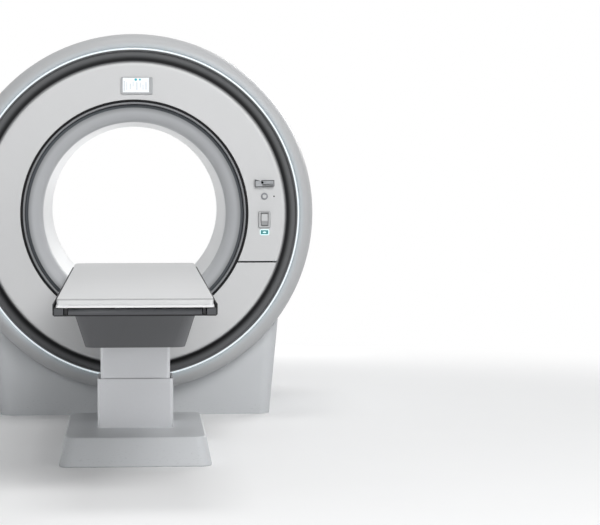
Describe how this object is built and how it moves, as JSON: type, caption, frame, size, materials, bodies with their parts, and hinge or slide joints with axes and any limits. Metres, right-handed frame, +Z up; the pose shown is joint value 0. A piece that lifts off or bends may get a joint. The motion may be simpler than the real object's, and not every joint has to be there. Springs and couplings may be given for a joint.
{
  "type": "mri scanner",
  "caption": "Ring-shaped MRI gantry with a flared patient bore, light ring and face controls, and a sliding patient table on a lifting pedestal.",
  "frame": {"origin": "on the floor, below the middle of the bore's length, under the gantry's floor plate", "axes": "+Z up; +Y along the bore from the patient table to the rear of the gantry; +X to the right of someone who faces the bore from the table"},
  "size_m": [1.5799, 3.576, 1.6899],
  "materials": {
    "cover_white": "satin moulded glass-fibre cover",
    "face_white": "satin face plate",
    "foot_grey": "satin moulded foot",
    "carrier_dark": "matt dark moulding",
    "light_white": "opal diffuser, lit",
    "gasket_black": "matt black seal",
    "trim_grey": "satin grey bead",
    "recess_dark": "matt dark",
    "flare_grey": "satin grey",
    "liner_white": "satin pale liner",
    "grille_grey": "satin grey",
    "steel_painted": "painted steel",
    "stainless": "brushed stainless steel",
    "aluminium": "machined aluminium",
    "copper": "bare copper",
    "coil_epoxy": "cast epoxy",
    "display_white": "white display frame",
    "screen": "lit screen behind a clear cover",
    "control_grey": "satin grey",
    "control_pale": "satin pale grey",
    "jack_black": "matt black",
    "button_teal": "lit teal keycap",
    "tabletop_white": "satin white laminate",
    "trim_white": "white edge moulding",
    "runner_white": "low-friction plastic",
    "tray_dark": "matt dark grey",
    "pedestal_dark": "matt dark grey",
    "column_metal": "anodised aluminium",
    "belt_black": "black belt",
    "chrome": "hard chrome"
  },
  "bodies": {
    "gantry": {"outer_cover_front": "cover_white", "outer_cover_rear": "cover_white", "base_cover": "foot_grey", "front_face_panel": "face_white", "front_service_panel": "face_white", "front_carrier_ring": "carrier_dark", "front_light_ring": "light_white", "bore_gasket": "gasket_black", "bore_trim_ring": "trim_grey", "bore_recess_ring": "recess_dark", "front_flare": "flare_grey", "bore_liner": "liner_white", "rear_flare": "flare_grey", "rear_face_panel": "face_white", "rear_vent_grille": "grille_grey", "gantry_frame": "steel_painted", "magnet_vessel": "stainless", "coil_former": "aluminium", "main_coils": "copper", "gradient_coil": "coil_epoxy", "rf_coil_former": "coil_epoxy", "rf_body_coil": "copper", "cold_head": "stainless", "front_standoffs": "aluminium", "rear_standoffs": "aluminium", "cover_brackets": "aluminium", "bore_bridge": "liner_white", "display_housing": "display_white", "display_screen": "screen", "handset_holder": "control_grey", "handset_jack": "jack_black", "round_button_bezel": "control_pale", "indicator_lamp": "jack_black", "rocker_frame": "control_pale", "start_button_frame": "control_grey", "column_lower": "column_metal", "lift_cylinder": "steel_painted", "table_base_plate": "steel_painted", "table_base_cover": "foot_grey", "cable_duct": "foot_grey"},
    "table_head": {"pedestal_head": "pedestal_dark", "column_head_plate": "steel_painted", "column_upper": "column_metal", "table_tray": "tray_dark", "tray_end_caps": "tray_dark", "drive_motor": "steel_painted", "drive_belt": "belt_black", "lift_rod": "chrome"},
    "tabletop": {"tabletop": "tabletop_white", "tabletop_trim": "trim_white", "tabletop_runners": "runner_white", "belt_clamp": "aluminium"},
    "drive_pulley": {"drive_pulley": "aluminium"},
    "idler_pulley": {"idler_pulley": "aluminium"},
    "column_middle": {"column_middle": "column_metal", "lift_stage": "chrome"},
    "round_button": {"round_button": "control_grey"},
    "start_button": {"start_button": "button_teal"},
    "table_rocker": {"table_rocker": "control_pale"}
  },
  "joints": [
    {"name": "table_lift", "type": "slide", "parent": "gantry", "child": "table_head", "axis": [0, 0, 1], "range_m": [-0.24, 0]},
    {"name": "column_middle_slide", "type": "slide", "parent": "gantry", "child": "column_middle", "axis": [0, 0, 1], "range_m": [-0.121, 0.001]},
    {"name": "tabletop_slide", "type": "slide", "parent": "table_head", "child": "tabletop", "axis": [0, 1, 0], "range_m": [0, 1.5]},
    {"name": "drive_pulley_spin", "type": "hinge", "parent": "table_head", "child": "drive_pulley", "pos_m": [0, -1.34611, 0.64], "axis": [0, 0, 1], "range_deg": [-1, 1400]},
    {"name": "idler_pulley_spin", "type": "hinge", "parent": "table_head", "child": "idler_pulley", "pos_m": [0, -2.966, 0.64], "axis": [0, 0, 1], "range_deg": [-1, 1400]},
    {"name": "round_button_press", "type": "slide", "parent": "gantry", "child": "round_button", "axis": [0, 1, 0], "range_m": [0, 0.003], "stiffness_N_per_m": 400},
    {"name": "start_button_press", "type": "slide", "parent": "gantry", "child": "start_button", "axis": [0, 1, 0], "range_m": [0, 0.003], "stiffness_N_per_m": 400},
    {"name": "table_rocker_tilt", "type": "hinge", "parent": "gantry", "child": "table_rocker", "pos_m": [0.5685, -0.523, 0.873], "axis": [1, 0, 0], "range_deg": [-4, 4], "stiffness_Nm_per_rad": 2}
  ],
  "couplings": [
    {"joint": "column_middle_slide", "follows": "table_lift", "ratio": 0.5},
    {"joint": "drive_pulley_spin", "follows": "tabletop_slide", "rad_per_m": 16.26},
    {"joint": "idler_pulley_spin", "follows": "tabletop_slide", "rad_per_m": 16.26}
  ]
}
